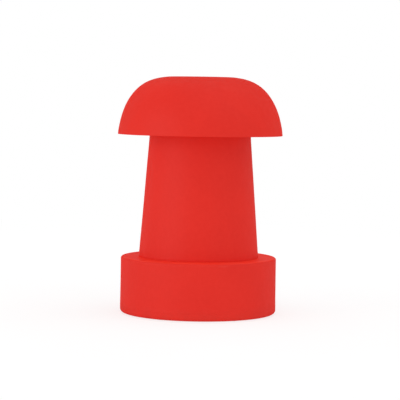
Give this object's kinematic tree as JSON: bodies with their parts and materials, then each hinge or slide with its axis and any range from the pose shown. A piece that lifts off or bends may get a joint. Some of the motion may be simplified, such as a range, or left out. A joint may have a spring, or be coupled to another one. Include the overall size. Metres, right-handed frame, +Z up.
{
  "type": "water filled barrier",
  "caption": "Round mushroom-shaped traffic barrier: ballast drum, tapered column and broad domed head with a filler in its crown, filled with water.",
  "frame": {"origin": "centre of the footprint, on the ground under the foot pads", "axes": "+Z up along the barrier's axis; -Y is the front, +Y the back, where the drain is; +X to the right seen from the front"},
  "size_m": [0.418, 0.418, 0.6],
  "materials": {
    "body_plastic": "satin rotomoulded polyethylene, saturated signal red",
    "fitting_plastic": "satin black injection-moulded polypropylene",
    "slip_plastic": "waxy natural polyethylene",
    "seal_rubber": "matte black EPDM",
    "pad_rubber": "matte black moulded rubber",
    "bolt_steel": "bright zinc plate",
    "insert_brass": "machined brass"
  },
  "bodies": {
    "barrier": {"base_tank": "body_plastic", "column_tank": "body_plastic", "head_shell": "body_plastic", "column_seal": "seal_rubber", "fill_neck": "fitting_plastic", "drain_bush": "fitting_plastic", "vent_plug": "fitting_plastic", "foot_pad_1": "pad_rubber", "foot_pad_2": "pad_rubber", "foot_pad_3": "pad_rubber", "foot_pad_4": "pad_rubber", "foot_pad_5": "pad_rubber", "foot_pad_6": "pad_rubber", "column_bolt_1": "bolt_steel", "column_bolt_2": "bolt_steel", "column_bolt_3": "bolt_steel", "column_bolt_4": "bolt_steel", "bolt_washer_1": "bolt_steel", "bolt_washer_2": "bolt_steel", "bolt_washer_3": "bolt_steel", "bolt_washer_4": "bolt_steel", "bolt_insert_1": "insert_brass", "bolt_insert_2": "insert_brass", "bolt_insert_3": "insert_brass", "bolt_insert_4": "insert_brass"},
    "filler_lift": {"fill_gasket": "seal_rubber"},
    "filler": {"fill_plug": "fitting_plastic"},
    "ring_lift": {"ring_washer": "slip_plastic"},
    "ring": {"lock_ring": "fitting_plastic"},
    "drain_lift": {"drain_gasket": "seal_rubber"},
    "drain": {"drain_plug": "fitting_plastic"}
  },
  "joints": [
    {"name": "fill_plug_rise", "type": "slide", "parent": "barrier", "child": "filler_lift", "axis": [0, 0, 1], "range_m": [0, 0.01125]},
    {"name": "fill_plug_turn", "type": "hinge", "parent": "filler_lift", "child": "filler", "pos_m": [0, 0, 0.59], "axis": [0, 0, 1], "range_deg": [0, 812]},
    {"name": "lock_ring_rise", "type": "slide", "parent": "barrier", "child": "ring_lift", "axis": [0, 0, 1], "range_m": [0, 0.00875]},
    {"name": "lock_ring_turn", "type": "hinge", "parent": "ring_lift", "child": "ring", "pos_m": [0, 0, 0.58], "axis": [0, 0, 1], "range_deg": [0, 632]},
    {"name": "drain_plug_out", "type": "slide", "parent": "barrier", "child": "drain_lift", "axis": [0, 1, 0], "range_m": [0, 0.01]},
    {"name": "drain_plug_turn", "type": "hinge", "parent": "drain_lift", "child": "drain", "pos_m": [0, 0.178, 0.052], "axis": [0, 1, 0], "range_deg": [0, 902]}
  ],
  "couplings": [
    {"joint": "fill_plug_turn", "follows": "fill_plug_rise", "rad_per_m": 1256.6},
    {"joint": "lock_ring_turn", "follows": "lock_ring_rise", "rad_per_m": 1256.6},
    {"joint": "drain_plug_turn", "follows": "drain_plug_out", "rad_per_m": 1570.8}
  ]
}
